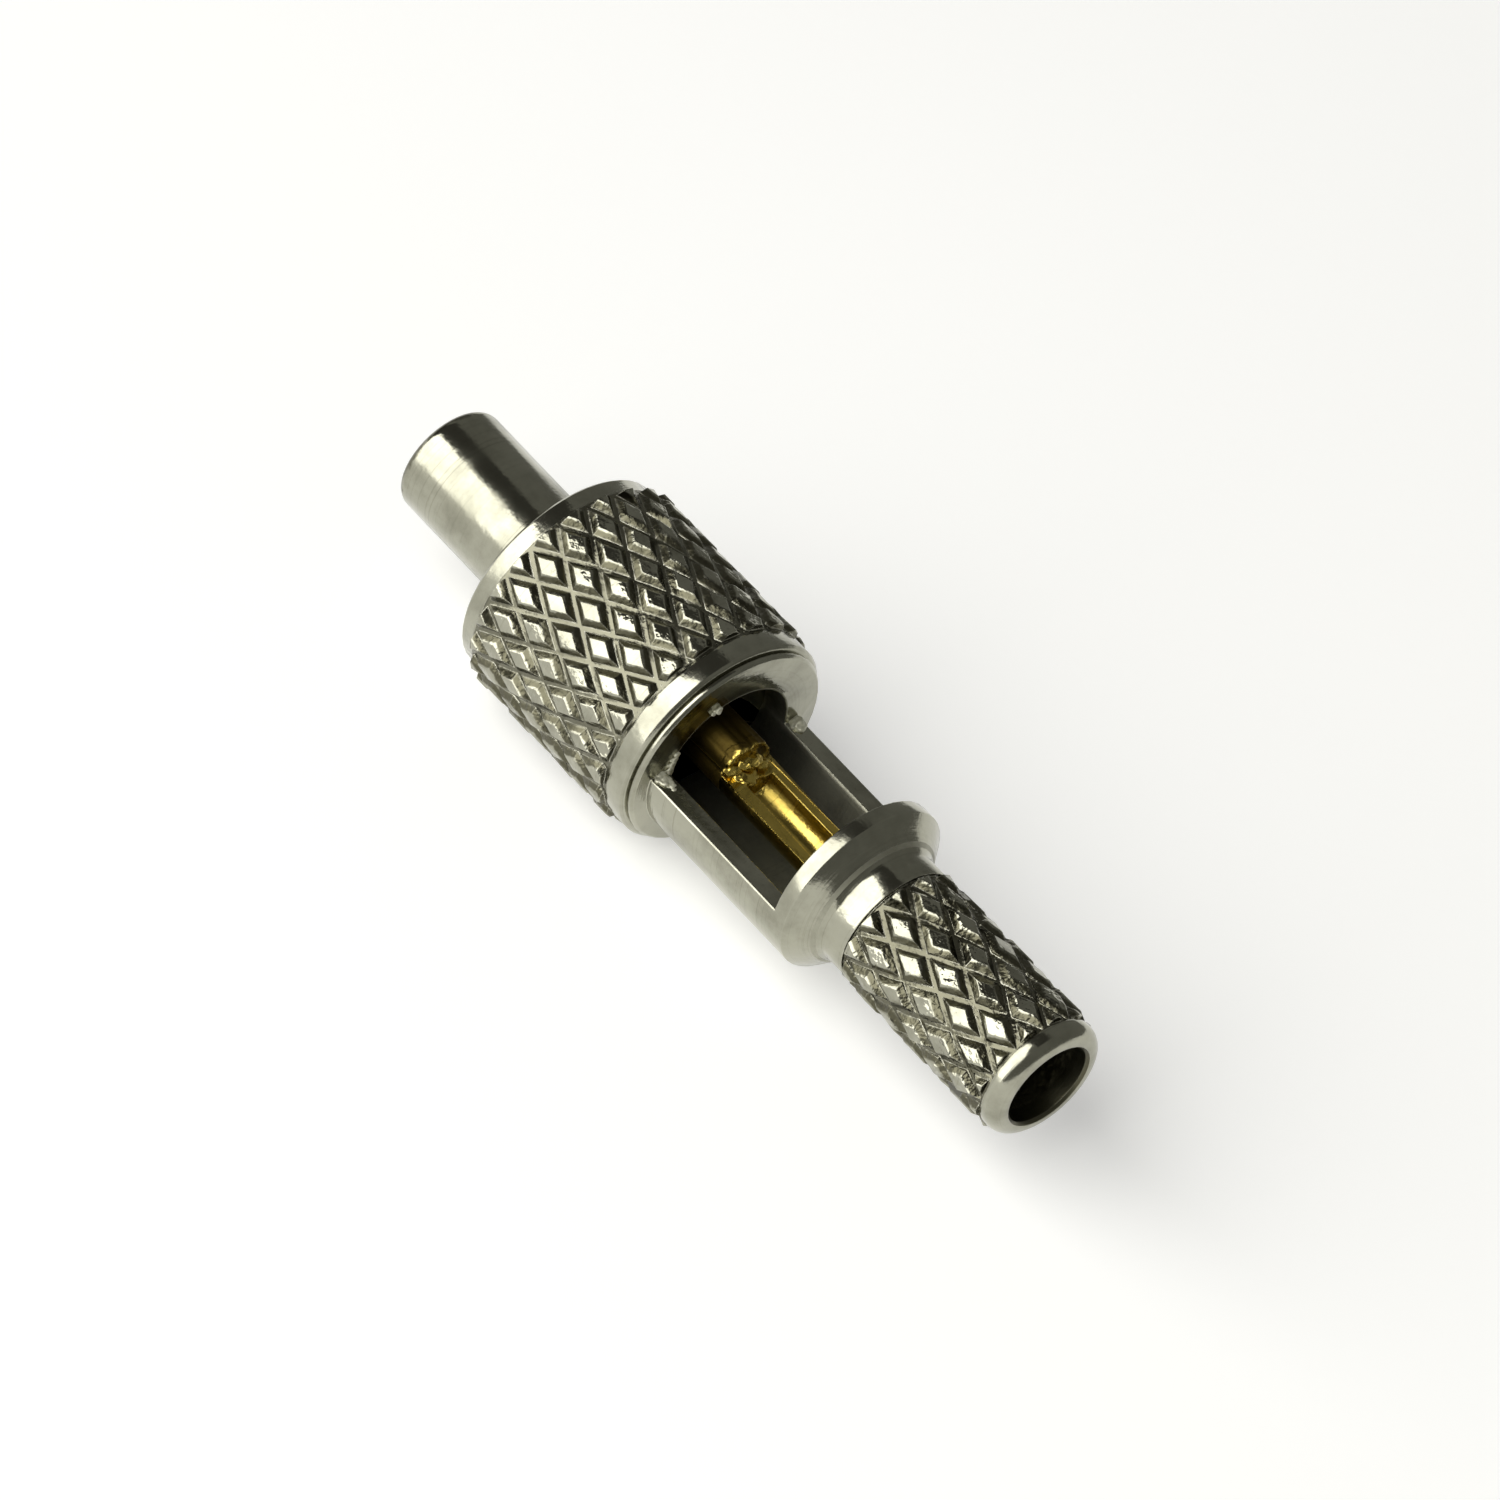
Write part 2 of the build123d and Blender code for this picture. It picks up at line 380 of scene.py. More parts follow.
def dressed_copy(node, name, rounded=None, finer=None, rough=None):
    """A merged copy of a machined solid with softly rounded edges, standing where the solid stands.

    It is worked in millimetres, because Blender's own limits for small faces suit that size.
    """
    sizes, _, _ = scene_values()
    piece = bpy.data.objects.new(name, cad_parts[node].data.copy())
    bpy.context.scene.collection.objects.link(piece)
    piece.data.materials.clear()
    scale_mesh(piece, 1 / MM)
    bpy.ops.object.mode_set(mode="EDIT")
    bpy.ops.mesh.select_all(action="SELECT")
    bpy.ops.mesh.remove_doubles(threshold=sizes.merge_gap / MM)
    bpy.ops.mesh.dissolve_limited(angle_limit=math.radians(FLAT_ANGLE))
    bpy.ops.object.mode_set(mode="OBJECT")
    if rounded:
        round_edges(piece, *rounded)
    bevel = piece.modifiers.new("Edge rounding", "BEVEL")
    bevel.width = sizes.edge_round / MM
    bevel.segments = sizes.edge_segments
    bevel.limit_method = "ANGLE"
    bevel.angle_limit = math.radians(SHARP_ANGLE)
    bevel.use_clamp_overlap = True
    bpy.ops.object.modifier_apply(modifier=bevel.name)
    if finer:
        cut_finer(piece, *finer)
    if rough:
        roughen(piece, *rough)
    scale_mesh(piece, MM)
    bpy.ops.object.shade_smooth_by_angle(angle=sizes.smooth_angle)
    deselect_all()
    return piece


def in_knurl(start, end, crest):
    """A test for the corners of a knurl's teeth, in millimetres."""
    low = crest / MM - TOOTH_HEIGHT

    def pick(place):
        return start / MM < place.x < end / MM and math.hypot(place.y, place.z) > low

    return pick


def burr(place, size, name, dents, grain):
    """A small lump of metal, modelled from a ball that is stretched and dented. All in millimetres."""
    deselect_all()
    bpy.ops.mesh.primitive_ico_sphere_add(subdivisions=4, radius=1.0, location=(0, 0, 0))
    lump = bpy.context.object
    lump.name = name
    lump.scale = size
    bpy.ops.object.transform_apply(location=False, rotation=False, scale=True)
    roughen(lump, lambda corner: True, dents, grain)
    lump.scale = (MM, MM, MM)
    lump.location = Vector(place) * MM
    bpy.ops.object.transform_apply(location=True, rotation=False, scale=True)
    bpy.ops.object.shade_smooth()
    deselect_all()
    return lump


def stand_in(piece, node, material):
    """Give a piece its finish, let it stand for its solid and ride on the body."""
    piece.data.materials.clear()
    piece.data.materials.append(material)
    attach(piece, BODY)
    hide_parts(node)


def new_group(name, inputs, outputs):
    """A shader node group with named sockets. Inputs are (name, kind, default)."""
    group = bpy.data.node_groups.new(name, "ShaderNodeTree")
    for label, kind, default in inputs:
        socket = group.interface.new_socket(label, in_out="INPUT", socket_type=kind)
        if default is not None:
            socket.default_value = default
    for label, kind in outputs:
        group.interface.new_socket(label, in_out="OUTPUT", socket_type=kind)
    return group, group.nodes.new("NodeGroupInput"), group.nodes.new("NodeGroupOutput")


def math_node(tree, operation, first, second=None, clamp=False):
    """A Math node with its inputs linked or set."""
    node = tree.nodes.new("ShaderNodeMath")
    node.operation = operation
    node.use_clamp = clamp
    for index, value in enumerate((first, second)):
        if value is None:
            continue
        if isinstance(value, (int, float)):
            node.inputs[index].default_value = value
        else:
            tree.links.new(value, node.inputs[index])
    return node.outputs[0]


def plus(tree, first, second):
    """The sum of two values."""
    return math_node(tree, "ADD", first, second)


def minus(tree, first, second, clamp=False):
    """The first value less the second."""
    return math_node(tree, "SUBTRACT", first, second, clamp)


def times(tree, first, second, clamp=False):
    """The product of two values."""
    return math_node(tree, "MULTIPLY", first, second, clamp)


def object_place(group):
    """Object coordinates in millimetres: station along the axis, radius round it, and the plain vector."""
    place = group.nodes.new("ShaderNodeTexCoord")
    split = group.nodes.new("ShaderNodeSeparateXYZ")
    group.links.new(place.outputs["Object"], split.inputs[0])
    square_y = times(group, split.outputs["Y"], split.outputs["Y"])
    square_z = times(group, split.outputs["Z"], split.outputs["Z"])
    radius = math_node(group, "SQRT", plus(group, square_y, square_z))
    station = times(group, split.outputs["X"], 1 / MM)
    return station, times(group, radius, 1 / MM), place.outputs["Object"]


def noise(group, vector, scale, detail=3.0, roughness=0.6):
    """A noise value between 0 and 1."""
    node = group.nodes.new("ShaderNodeTexNoise")
    node.inputs["Detail"].default_value = detail
    node.inputs["Roughness"].default_value = roughness
    group.links.new(vector, node.inputs["Vector"])
    if isinstance(scale, bpy.types.NodeSocket):
        group.links.new(scale, node.inputs["Scale"])
    else:
        node.inputs["Scale"].default_value = scale
    return node.outputs["Fac"]


def ramp(group, value, low, high):
    """A value stretched so that low gives 0 and high gives 1, softly and with no overshoot."""
    node = group.nodes.new("ShaderNodeMapRange")
    node.interpolation_type = "SMOOTHSTEP"
    group.links.new(value, node.inputs["Value"])
    for label, edge in (("From Min", low), ("From Max", high)):
        if isinstance(edge, bpy.types.NodeSocket):
            group.links.new(edge, node.inputs[label])
        else:
            node.inputs[label].default_value = edge
    return node.outputs[0]


def turning_marks_group():
    """Fine rings left by the lathe: they run round the axis on walls, and as circles on end faces."""
    group, given, result = new_group(
        "Turning marks",
        [("Rings per mm", "NodeSocketFloat", 22.0), ("Wander", "NodeSocketFloat", 0.02)],
        [("Height", "NodeSocketFloat"), ("Scratch", "NodeSocketFloat")],
    )
    station, radius, vector = object_place(group)
    drift = times(group, noise(group, vector, 400.0), given.outputs["Wander"])
    join = group.nodes.new("ShaderNodeCombineXYZ")
    along = times(group, plus(group, station, drift), given.outputs["Rings per mm"])
    group.links.new(along, join.inputs["X"])
    group.links.new(times(group, radius, given.outputs["Rings per mm"]), join.inputs["Y"])
    rings = noise(group, join.outputs[0], 1.0)
    group.links.new(rings, result.inputs["Height"])
    group.links.new(ramp(group, rings, 0.56, 0.74), result.inputs["Scratch"])
    return group


def edge_wear_and_highlight_group():
    """Marks worn edges, where a lighter colour also paints a bright highlight line."""
    group, given, result = new_group(
        "Edge wear and highlight",
        [("Amount", "NodeSocketFloat", 4.0)],
        [("Mask", "NodeSocketFloat"), ("Normal", "NodeSocketVector")],
    )
    nodes, links = group.nodes, group.links
    soft = nodes.new("ShaderNodeBevel")
    soft.samples = 6
    soft.inputs["Radius"].default_value = 0.03 * MM
    true = nodes.new("ShaderNodeNewGeometry")
    dot = nodes.new("ShaderNodeVectorMath")
    dot.operation = "DOT_PRODUCT"
    links.new(soft.outputs[0], dot.inputs[0])
    links.new(true.outputs["Normal"], dot.inputs[1])
    turned = minus(group, 1.0, dot.outputs["Value"])
    links.new(times(group, turned, given.outputs["Amount"], clamp=True), result.inputs["Mask"])
    links.new(soft.outputs[0], result.inputs["Normal"])
    return group


def film_group():
    """Uneven film and tiny pits on plated metal."""
    group, given, result = new_group(
        "Plating film",
        [
            ("Patch scale", "NodeSocketFloat", 900.0),
            ("Lump scale", "NodeSocketFloat", 7000.0),
            ("Pit scale", "NodeSocketFloat", 16000.0),
        ],
        [("Film", "NodeSocketFloat"), ("Lumps", "NodeSocketFloat"), ("Pits", "NodeSocketFloat")],
    )
    vector = group.nodes.new("ShaderNodeTexCoord").outputs["Object"]
    patches = noise(group, vector, given.outputs["Patch scale"], 5.0, 0.62)
    group.links.new(ramp(group, patches, 0.38, 0.72), result.inputs["Film"])
    group.links.new(noise(group, vector, given.outputs["Lump scale"], 2.0, 0.5), result.inputs["Lumps"])
    group.links.new(noise(group, vector, given.outputs["Pit scale"], 2.0), result.inputs["Pits"])
    return group


def knurl_group():
    """Tells the flanks and the groove feet of a knurl by their depth under its crests."""
    group, given, result = new_group(
        "Knurl depth",
        [
            ("Start", "NodeSocketFloat", 0.0),
            ("End", "NodeSocketFloat", 1.0),
            ("Crest", "NodeSocketFloat", 1.0),
            ("Depth", "NodeSocketFloat", 0.11),
            ("Ragged", "NodeSocketFloat", 0.5),
        ],
        [("Band", "NodeSocketFloat"), ("Flank", "NodeSocketFloat"), ("Foot", "NodeSocketFloat")],
    )
    station, radius, vector = object_place(group)
    after = math_node(group, "GREATER_THAN", station, given.outputs["Start"])
    before = math_node(group, "LESS_THAN", station, given.outputs["End"])
    band = times(group, after, before)
    under = minus(group, given.outputs["Crest"], radius)
    share = math_node(group, "DIVIDE", under, given.outputs["Depth"])
    rough = minus(group, noise(group, vector, 9000.0), 0.5)
    share = plus(group, share, times(group, rough, given.outputs["Ragged"]))
    group.links.new(band, result.inputs["Band"])
    group.links.new(times(group, band, ramp(group, share, 0.10, 0.34)), result.inputs["Flank"])
    group.links.new(times(group, band, ramp(group, share, 0.78, 1.02)), result.inputs["Foot"])
    return group


def inside_group():
    """Tells the wall of a bore: what lies nearer to the axis than a given radius, between two stations."""
    group, given, result = new_group(
        "Bore wall",
        [
            ("Radius", "NodeSocketFloat", 1.0),
            ("Start", "NodeSocketFloat", 0.0),
            ("End", "NodeSocketFloat", 1.0),
        ],
        [("Mask", "NodeSocketFloat")],
    )
    station, radius, _ = object_place(group)
    near = math_node(group, "LESS_THAN", radius, given.outputs["Radius"])
    after = math_node(group, "GREATER_THAN", station, given.outputs["Start"])
    before = math_node(group, "LESS_THAN", station, given.outputs["End"])
    group.links.new(times(group, near, times(group, after, before)), result.inputs["Mask"])
    return group


def stretch_group():
    """Marks a stretch of the axis, with ragged ends."""
    group, given, result = new_group(
        "Stretch",
        [
            ("Start", "NodeSocketFloat", 0.0),
            ("End", "NodeSocketFloat", 1.0),
            ("Ragged", "NodeSocketFloat", 0.3),
        ],
        [("Mask", "NodeSocketFloat")],
    )
    station, _, vector = object_place(group)
    shift = minus(group, noise(group, vector, 4200.0), 0.5)
    place = plus(group, station, times(group, shift, given.outputs["Ragged"]))
    soft = 0.06
    rise = ramp(group, place, given.outputs["Start"], plus(group, given.outputs["Start"], soft))
    fall = ramp(group, place, given.outputs["End"], plus(group, given.outputs["End"], soft))
    group.links.new(minus(group, rise, fall, clamp=True), result.inputs["Mask"])
    return group


def place_group(material, group, **values):
    """Put a shader group in a material, with its own values."""
    node = material.node_tree.nodes.new("ShaderNodeGroup")
    node.node_tree = group
    for label, value in values.items():
        node.inputs[label.replace("_", " ")].default_value = value
    return node


def mix_colour(tree, factor, first, second):
    """A colour mix: the first two are colours or sockets, the factor a socket."""
    node = tree.nodes.new("ShaderNodeMix")
    node.data_type = "RGBA"
    tree.links.new(factor, node.inputs["Factor"])
    for socket, value in ((node.inputs[6], first), (node.inputs[7], second)):
        if isinstance(value, bpy.types.NodeSocket):
            tree.links.new(value, socket)
        else:
            socket.default_value = value
    return node.outputs[2]


def opaque(colour):
    """A colour property with an alpha of one."""
    return (colour[0], colour[1], colour[2], 1.0)


def knurl_layer(start, end, crest, foot_highlight, lumpy):
    """Painted shade on a knurl's flanks, lifted again at the foot of its grooves as a painted bright line,
    and lumps on all of it.
    """

    def lay(material, metal):
        tree = material.node_tree
        _, finishes, _ = scene_values()
        depth = knurl_values().depth
        knurl = place_group(
            material,
            bpy.data.node_groups["Knurl depth"],
            Start=start / MM,
            End=end / MM,
            Crest=crest / MM,
            Depth=depth / MM,
        )
        # Painted shade: the flanks are darkened towards the stain colour, and the foot is lifted back to
        # plain nickel as a painted bright line.
        flank = times(tree, knurl.outputs["Flank"], 0.92)
        metal["colour"] = mix_colour(tree, flank, metal["colour"], opaque(finishes.nickel_stain_and_shade))
        foot = times(tree, knurl.outputs["Foot"], foot_highlight)
        metal["colour"] = mix_colour(tree, foot, metal["colour"], opaque(finishes.nickel))
        lumps = times(tree, metal["lumps"], knurl.outputs["Band"])
        metal["height"] = plus(tree, metal["height"], times(tree, lumps, lumpy))
        metal["rough"] = plus(tree, metal["rough"], times(tree, knurl.outputs["Flank"], 0.12))

    return lay


def bore_layer(radius, start, end, shade, dull):
    """A duller wall in a bore, as the drill leaves it, and darker by painted shade."""

    def lay(material, metal):
        tree = material.node_tree
        _, finishes, _ = scene_values()
        bore = place_group(
            material, bpy.data.node_groups["Bore wall"], Radius=radius / MM, Start=start / MM, End=end / MM
        )
        # Painted shade: the bore's wall is darkened towards the stain colour by the given share.
        dark = times(tree, bore.outputs["Mask"], shade)
        metal["colour"] = mix_colour(tree, dark, metal["colour"], opaque(finishes.nickel_stain_and_shade))
        metal["rough"] = plus(tree, metal["rough"], times(tree, bore.outputs["Mask"], dull))

    return lay


def shade_stretch_layer(start, end, colour, amount, dull):
    """A duller stretch darkened towards another colour as painted shade, such as the gold barrel in front of
    the step or the tube's rim.
    """

    def lay(material, metal):
        tree = material.node_tree
        brown = place_group(material, bpy.data.node_groups["Stretch"], Start=start / MM, End=end / MM)
        # Painted shade over the stretch.
        dark = times(tree, brown.outputs["Mask"], amount)
        metal["colour"] = mix_colour(tree, dark, metal["colour"], opaque(colour))
        metal["rough"] = plus(tree, metal["rough"], times(tree, brown.outputs["Mask"], dull))

    return lay


def rough_layer(start, end, depth):
    """A stretch with a lumpy, roughly cut surface."""

    def lay(material, metal):
        tree = material.node_tree
        lumpy = place_group(material, bpy.data.node_groups["Stretch"], Start=start / MM, End=end / MM)
        lumps = times(tree, metal["lumps"], lumpy.outputs["Mask"])
        metal["height"] = plus(tree, metal["height"], times(tree, lumps, depth))

    return lay


def plated_metal(
    name, colour, stain, worn, rings, ring_depth, lump_depth, pit_depth, smooth, dull, layers=()
):
    """Plated metal: a film, lathe rings, lumps, pits and worn edges that are lighter, partly as a painted
    highlight, and then what its own layers add.
    """
    groups = bpy.data.node_groups
    material = bpy.data.materials.new(name)
    material.use_nodes = True
    tree = material.node_tree
    shader = tree.nodes["Principled BSDF"]
    shader.inputs["Metallic"].default_value = 1.0
    marks = place_group(material, groups["Turning marks"], Rings_per_mm=rings)
    film = place_group(material, groups["Plating film"])
    wear = place_group(material, groups["Edge wear and highlight"])
    stained = times(tree, film.outputs["Film"], 0.40)
    scratched = times(tree, marks.outputs["Scratch"], 0.30)
    rings_up = times(tree, marks.outputs["Height"], ring_depth)
    pits_up = times(tree, film.outputs["Pits"], pit_depth)
    lumps_up = times(tree, film.outputs["Lumps"], lump_depth)
    marked = math_node(tree, "ADD", stained, scratched, clamp=True)
    spread = tree.nodes.new("ShaderNodeMapRange")
    spread.inputs["To Min"].default_value = smooth
    spread.inputs["To Max"].default_value = dull
    tree.links.new(film.outputs["Film"], spread.inputs["Value"])
    metal = {
        "colour": mix_colour(tree, marked, opaque(colour), opaque(stain)),
        "rough": spread.outputs[0],
        "height": plus(tree, plus(tree, rings_up, pits_up), lumps_up),
        "lumps": film.outputs["Lumps"],
    }
    for lay in layers:
        lay(material, metal)
    # Worn edges take the lighter colour, which is also a painted highlight along them.
    base = mix_colour(tree, wear.outputs["Mask"], metal["colour"], opaque(worn))
    tree.links.new(base, shader.inputs["Base Color"])
    tree.links.new(metal["rough"], shader.inputs["Roughness"])
    bump = tree.nodes.new("ShaderNodeBump")
    bump.inputs["Strength"].default_value = 1.0
    bump.inputs["Distance"].default_value = MM
    tree.links.new(metal["height"], bump.inputs["Height"])
    tree.links.new(wear.outputs["Normal"], bump.inputs["Normal"])
    tree.links.new(bump.outputs[0], shader.inputs["Normal"])
    return material


def nickel(name, layers=()):
    """Nickel plate for one turned piece."""
    _, finishes, _ = scene_values()
    return plated_metal(
        name,
        finishes.nickel,
        finishes.nickel_stain_and_shade,
        finishes.nickel_wear_and_highlight,
        rings=20.0,
        ring_depth=0.0034,
        lump_depth=0.0036,
        pit_depth=0.0009,
        smooth=0.11,
        dull=0.26,
        layers=layers,
    )


def finish_tube():
    """Nickel on the mating tube, duller inside, with painted shade in its bore and on its rim."""
    _, finishes, _ = scene_values()
    return nickel(
        "Tube nickel",
        [
            bore_layer(0.80 * MM, TUBE_LOW.x, TUBE_HIGH.x, shade=0.5, dull=0.15),
            shade_stretch_layer(
                TUBE_LOW.x - 1.0 * MM, TUBE_LOW.x + 0.10 * MM, finishes.nickel_stain_and_shade, amount=0.80, dull=0.05
            ),
        ],
    )


def finish_sleeve():
    """Nickel on the sleeve, with painted shade on its knurl's flanks."""
    knurls = knurl_values()
    knurl = knurl_layer(knurls.sleeve_front, knurls.sleeve_rear, knurls.sleeve_crest, foot_highlight=0.22, lumpy=0.020)
    return nickel("Sleeve nickel", [knurl])


def finish_body():
    """Nickel on the body, with painted shade on the stem's knurl flanks and in the rear bore, and dull bores.
    """
    knurls = knurl_values()
    found = bpy.data.materials.get("Body nickel")
    return found or nickel(
        "Body nickel",
        [
            knurl_layer(knurls.stem_front, knurls.stem_rear, knurls.stem_crest, foot_highlight=0.12, lumpy=0.036),
            bore_layer(1.38 * MM, SHELL_LOW.x, knurls.stem_front - 0.60 * MM, shade=0.0, dull=0.34),
            bore_layer(0.90 * MM, knurls.stem_front - 1.20 * MM, SHELL_HIGH.x, shade=0.95, dull=0.20),
        ],
    )


def finish_burr():
    """Pale torn nickel, too rough to mirror."""
    _, finishes, _ = scene_values()
    found = bpy.data.materials.get("Torn nickel")
    if found:
        return found
    material = bpy.data.materials.new("Torn nickel")
    material.use_nodes = True
    shader = material.node_tree.nodes["Principled BSDF"]
    shader.inputs["Base Color"].default_value = opaque(finishes.torn)
    shader.inputs["Metallic"].default_value = 0.45
    shader.inputs["Roughness"].default_value = 0.42
    return material


def finish_gold():
    """Gold plate for the centre contact, darkened brown by painted shade near the flange and rough at the
    step.
    """
    _, finishes, _ = scene_values()
    step = CONTACT_STEP * MM
    return plated_metal(
        "Gold plate",
        finishes.gold,
        finishes.gold_stain,
        # Lighter gold on worn edges, also a painted highlight along them.
        tuple(min(1.0, channel * 1.25) for channel in finishes.gold),
        rings=30.0,
        ring_depth=0.0030,
        lump_depth=0.0060,
        pit_depth=0.0018,
        smooth=0.16,
        dull=0.38,
        layers=[
            shade_stretch_layer(
                CONTACT_LOW.x + 3.0 * MM, step - 0.04 * MM, finishes.gold_painted_shade, amount=0.97, dull=0.34
            ),
            rough_layer(step - 0.20 * MM, step + 0.36 * MM, depth=0.020),
        ],
    )


def finish_insulator():
    """White fluoropolymer with a faint waxy sheen."""
    _, finishes, _ = scene_values()
    found = bpy.data.materials.get("White insulator")
    if found:
        return found
    material = bpy.data.materials.new("White insulator")
    material.use_nodes = True
    tree = material.node_tree
    shader = tree.nodes["Principled BSDF"]
    film = place_group(material, bpy.data.node_groups["Plating film"])
    marks = place_group(material, bpy.data.node_groups["Turning marks"], Rings_per_mm=14.0)
    shade = tuple(channel * 0.86 for channel in finishes.insulator)
    patchy = mix_colour(tree, film.outputs["Film"], opaque(finishes.insulator), opaque(shade))
    tree.links.new(patchy, shader.inputs["Base Color"])
    shader.inputs["Roughness"].default_value = 0.42
    bump = tree.nodes.new("ShaderNodeBump")
    bump.inputs["Distance"].default_value = 0.002 * MM
    tree.links.new(marks.outputs["Height"], bump.inputs["Height"])
    tree.links.new(bump.outputs[0], shader.inputs["Normal"])
    return material


class CONNECTOR_OT_finishes(bpy.types.Operator):
    """Build the shared shader groups that the finishes use"""

    bl_idname = "connector.finishes"
    bl_label = "Finishes"

    def execute(self, context):
        turning_marks_group()
        edge_wear_and_highlight_group()
        film_group()
        knurl_group()
        inside_group()
        stretch_group()
        return {"FINISHED"}


class CONNECTOR_OT_mating_tube(bpy.types.Operator):
    """Dress the smooth mating tube in bright nickel"""

    bl_idname = "connector.mating_tube"
    bl_label = "Mating tube"

    def execute(self, context):
        stand_in(dressed_copy("mating_tube", "mating_tube_plated"), "mating_tube", finish_tube())
        return {"FINISHED"}


class CONNECTOR_OT_grip_sleeve(bpy.types.Operator):
    """Dress the knurled grip sleeve in bright nickel"""

    bl_idname = "connector.grip_sleeve"
    bl_label = "Grip sleeve"

    def execute(self, context):
        knurls = knurl_values()
        teeth = in_knurl(knurls.sleeve_front, knurls.sleeve_rear, knurls.sleeve_crest)
        piece = dressed_copy("grip_sleeve", "grip_sleeve_plated", rough=(teeth, 0.060, 0.16))
        stand_in(piece, "grip_sleeve", finish_sleeve())
        return {"FINISHED"}


class CONNECTOR_OT_crimp_body(bpy.types.Operator):
    """Dress the body with its flange, window and crimp stem in bright nickel"""

    bl_idname = "connector.crimp_body"
    bl_label = "Crimp body"

    def execute(self, context):
        knurls = knurl_values()
        teeth = in_knurl(knurls.stem_front, knurls.stem_rear, knurls.stem_crest)
        flat, long = 0.01, 3.0

        def on_window_rail(first, second):
            return abs(first.z) < flat and abs(second.z) < flat and abs(first.x - second.x) > long

        piece = dressed_copy(
            "crimp_body", "crimp_body_plated", rounded=(on_window_rail, 0.045), rough=(teeth, 0.095, 0.15)
        )
        stand_in(piece, "crimp_body", finish_body())
        return {"FINISHED"}


class CONNECTOR_OT_window_burrs(bpy.types.Operator):
    """Add the torn burrs that the cutter left at the mouth of the window"""

    bl_idname = "connector.window_burrs"
    bl_label = "Window burrs"

    def execute(self, context):
        mouth = WINDOW_MOUTH
        burrs = [
            ((mouth + 0.14, 1.57, 0.04), (0.17, 0.15, 0.12)),
            ((mouth + 0.10, -1.57, 0.02), (0.17, 0.15, 0.06)),
            ((mouth + 0.30, -1.52, 0.00), (0.12, 0.10, 0.04)),
        ]
        # The torn rim: turn round the axis from the top, in degrees, and the size of the lump there
        for turn, size in ((-88, 0.10), (-82, 0.09), (-77, 0.08), (-72, 0.06), (-31, 0.05), (-27, 0.09)):
            angle = math.radians(turn)
            place = (mouth + 0.01, BORE_RADIUS * math.sin(angle), BORE_RADIUS * math.cos(angle))
            burrs.append((place, (0.7 * size, size, size)))
        for index, (place, size) in enumerate(burrs):
            lump = burr(place, size, f"window_burr_{index + 1}", dents=0.09, grain=0.10)
            lump.data.materials.append(finish_burr())
            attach(lump, BODY)
        return {"FINISHED"}


class CONNECTOR_OT_centre_contact(bpy.types.Operator):
    """Dress the centre contact and its solder cup in gold"""

    bl_idname = "connector.centre_contact"
    bl_label = "Centre contact"

    def execute(self, context):
        step = CONTACT_STEP
        low = (step - 0.26, -0.6, 0.0)
        high = (step + 0.36, 0.6, 0.6)

        def at_step(place):
            return low[0] < place.x < high[0] and place.z > -0.1 and math.hypot(place.y, place.z) > 0.04

        piece = dressed_copy(
            "centre_contact", "centre_contact_plated", finer=(low, high, 0.045), rough=(at_step, 0.24, 0.24)
        )
        stand_in(piece, "centre_contact", finish_gold())
        lumps = (
            ((step + 0.02, -0.32, 0.13), (0.16, 0.22, 0.13)),
            ((step + 0.05, -0.02, 0.23), (0.19, 0.27, 0.15)),
            ((step + 0.18, -0.18, 0.07), (0.26, 0.24, 0.10)),
            ((step + 0.08, 0.27, 0.09), (0.15, 0.19, 0.10)),
        )
        for index, (place, size) in enumerate(lumps):
            lump = burr(place, size, f"step_lump_{index + 1}", dents=0.11, grain=0.15)
            lump.data.materials.append(piece.data.materials[0])
            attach(lump, BODY)
        return {"FINISHED"}


class CONNECTOR_OT_insulators(bpy.types.Operator):
    """Dress both insulators in white fluoropolymer"""

    bl_idname = "connector.insulators"
    bl_label = "Insulators"

    def execute(self, context):
        for node in ("rear_insulator", "front_insulator"):
            stand_in(dressed_copy(node, node + "_turned"), node, finish_insulator())
        return {"FINISHED"}


class CONNECTOR_OT_studio(bpy.types.Operator):
    """Set up the floor, softbox, dark card, room and camera"""

    bl_idname = "connector.studio"
    bl_label = "Studio"

    def execute(self, context):
        lay_floor()
        light_room()
        hang_softbox()
        hang_dark_card()
        place_camera()
        return {"FINISHED"}


def lay_floor():
    """A round pale floor under the connector, pale to the camera and in reflections, with the shadow kept."""
    _, _, studio = scene_values()
    deselect_all()
    low, high = cad_box
    bpy.ops.mesh.primitive_circle_add(
        vertices=96, radius=2.0, fill_type="NGON", location=((low.x + high.x) / 2, 0, low.z)
    )
    floor = bpy.context.object
    floor.name = "studio_floor"
    bpy.ops.object.transform_apply(location=True, rotation=True, scale=True)
    material = bpy.data.materials.new("Pale floor")
    material.use_nodes = True
    tree = material.node_tree
    shader = tree.nodes["Principled BSDF"]
    shader.inputs["Base Color"].default_value = opaque(studio.floor)
    shader.inputs["Roughness"].default_value = 0.9
    shader.inputs["Specular IOR Level"].default_value = 0.0
    lift = tree.nodes.new("ShaderNodeEmission")
    lift.inputs["Color"].default_value = (1, 1, 1, 1)
    path = tree.nodes.new("ShaderNodeLightPath")
    seen = math_node(tree, "MAXIMUM", path.outputs["Is Camera Ray"], path.outputs["Is Glossy Ray"])
    seen = math_node(tree, "MAXIMUM", seen, path.outputs["Is Transmission Ray"])
    tree.links.new(times(tree, seen, studio.floor_lift), lift.inputs["Strength"])
    both = tree.nodes.new("ShaderNodeAddShader")
    tree.links.new(shader.outputs[0], both.inputs[0])
    tree.links.new(lift.outputs[0], both.inputs[1])
    tree.links.new(both.outputs[0], tree.nodes["Material Output"].inputs["Surface"])
    floor.data.materials.append(material)


